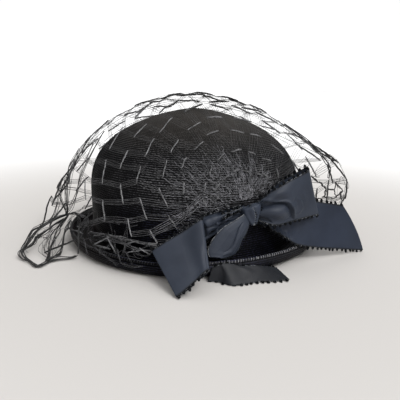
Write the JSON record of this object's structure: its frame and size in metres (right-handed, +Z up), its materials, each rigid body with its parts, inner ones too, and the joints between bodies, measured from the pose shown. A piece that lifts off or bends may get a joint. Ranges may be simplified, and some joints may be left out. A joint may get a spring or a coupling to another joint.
{
  "type": "tilt hat",
  "caption": "Small round-crowned straw tilt hat with a short rolled brim, a coarse net veil puffed over the crown and a picot-edged ribbon bow at the front right.",
  "frame": {"origin": "middle of the bounding box's footprint, on the surface that the hat stands on", "axes": "+Z up; +Y to the back of the hat; +X to the right, as seen from the front, where the bow's long tail points"},
  "size_m": [0.279, 0.2486, 0.1269],
  "materials": {
    "straw": "fine black straw rows, satin",
    "net": "matte black net",
    "ribbon": "slate black taffeta, soft sheen"
  },
  "bodies": {
    "root": {"crown": "straw", "brim": "straw", "brim_edge": "straw", "veil": "net", "bow_knot": "ribbon", "bow_loop_right": "ribbon", "bow_tail_right": "ribbon", "bow_neck_left": "ribbon", "bow_loop_left": "ribbon", "bow_leaf": "ribbon", "bow_tail_low": "ribbon"}
  },
  "joints": []
}
